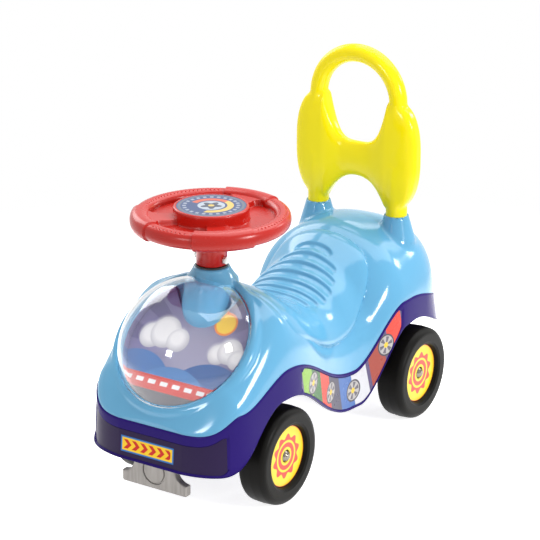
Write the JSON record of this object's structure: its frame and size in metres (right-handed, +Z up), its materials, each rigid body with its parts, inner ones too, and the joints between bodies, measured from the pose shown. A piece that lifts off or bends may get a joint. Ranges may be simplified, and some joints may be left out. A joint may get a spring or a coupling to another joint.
{
  "type": "ride on train",
  "caption": "Child's foot-to-floor ride-on train with a saddle seat, free-turning steering wheel, clear domed nose, free-rolling wheels and a push handle behind the seat.",
  "frame": {"origin": "on the ground, in the middle between the two axles and under the middle plane", "axes": "+Y to the tail, so the plough and bumper face -Y; +X to the rider's left; +Z up"},
  "size_m": [0.209, 0.532, 0.443],
  "materials": {
    "blue_shell": "glossy sky-blue moulded plastic",
    "purple_shell": "satin purple moulded plastic",
    "clear_dome": "clear polished plastic",
    "printed_card": "printed card",
    "red_plastic": "glossy red moulded plastic",
    "round_label": "printed vinyl",
    "steel": "bright zinc-plated steel",
    "black_bush": "matt black plastic",
    "black_wheel": "satin black moulded plastic",
    "wheel_disc": "printed yellow plastic",
    "push_cap": "polished steel push-on cap",
    "white_washer": "natural plastic washer",
    "dark_saddle": "matt purple plastic",
    "grey_plough": "fine-brushed grey plastic",
    "yellow_handle": "glossy yellow blow-moulded plastic",
    "side_label": "printed vinyl strip",
    "bumper_plate": "dark vinyl strip"
  },
  "bodies": {
    "chassis": {"upper_body": "blue_shell", "lower_body": "purple_shell", "dome_window": "clear_dome", "dome_card": "printed_card", "upper_bush": "black_bush", "lower_bush": "black_bush", "front_axle": "steel", "rear_axle": "steel", "front_axle_caps": "push_cap", "rear_axle_caps": "push_cap", "front_washers": "white_washer", "rear_washers": "white_washer", "front_saddles": "dark_saddle", "rear_saddles": "dark_saddle", "saddle_screws": "steel", "plough": "grey_plough", "plough_screws": "steel", "push_handle": "yellow_handle", "body_screws": "steel", "left_label": "side_label", "right_label": "side_label", "bumper_label": "bumper_plate"},
    "steering": {"steering_wheel": "red_plastic", "hub_label": "round_label", "column_rod": "steel", "column_bolt": "steel", "column_nut": "steel", "column_clip": "steel"},
    "front_left_roller": {"front_left_wheel": "black_wheel", "front_left_disc": "wheel_disc"},
    "front_right_roller": {"front_right_wheel": "black_wheel", "front_right_disc": "wheel_disc"},
    "rear_left_roller": {"rear_left_wheel": "black_wheel", "rear_left_disc": "wheel_disc"},
    "rear_right_roller": {"rear_right_wheel": "black_wheel", "rear_right_disc": "wheel_disc"}
  },
  "joints": [
    {"name": "steering_turn", "type": "hinge", "parent": "chassis", "child": "steering", "pos_m": [0, -0.1455, 0.262], "axis": [0, 0, 1], "continuous": true},
    {"name": "front_left_spin", "type": "hinge", "parent": "chassis", "child": "front_left_roller", "pos_m": [0.0865, -0.1455, 0.056], "axis": [1, 0, 0], "continuous": true},
    {"name": "front_right_spin", "type": "hinge", "parent": "chassis", "child": "front_right_roller", "pos_m": [-0.0865, -0.1455, 0.056], "axis": [1, 0, 0], "continuous": true},
    {"name": "rear_left_spin", "type": "hinge", "parent": "chassis", "child": "rear_left_roller", "pos_m": [0.0865, 0.1455, 0.056], "axis": [1, 0, 0], "continuous": true},
    {"name": "rear_right_spin", "type": "hinge", "parent": "chassis", "child": "rear_right_roller", "pos_m": [-0.0865, 0.1455, 0.056], "axis": [1, 0, 0], "continuous": true}
  ]
}
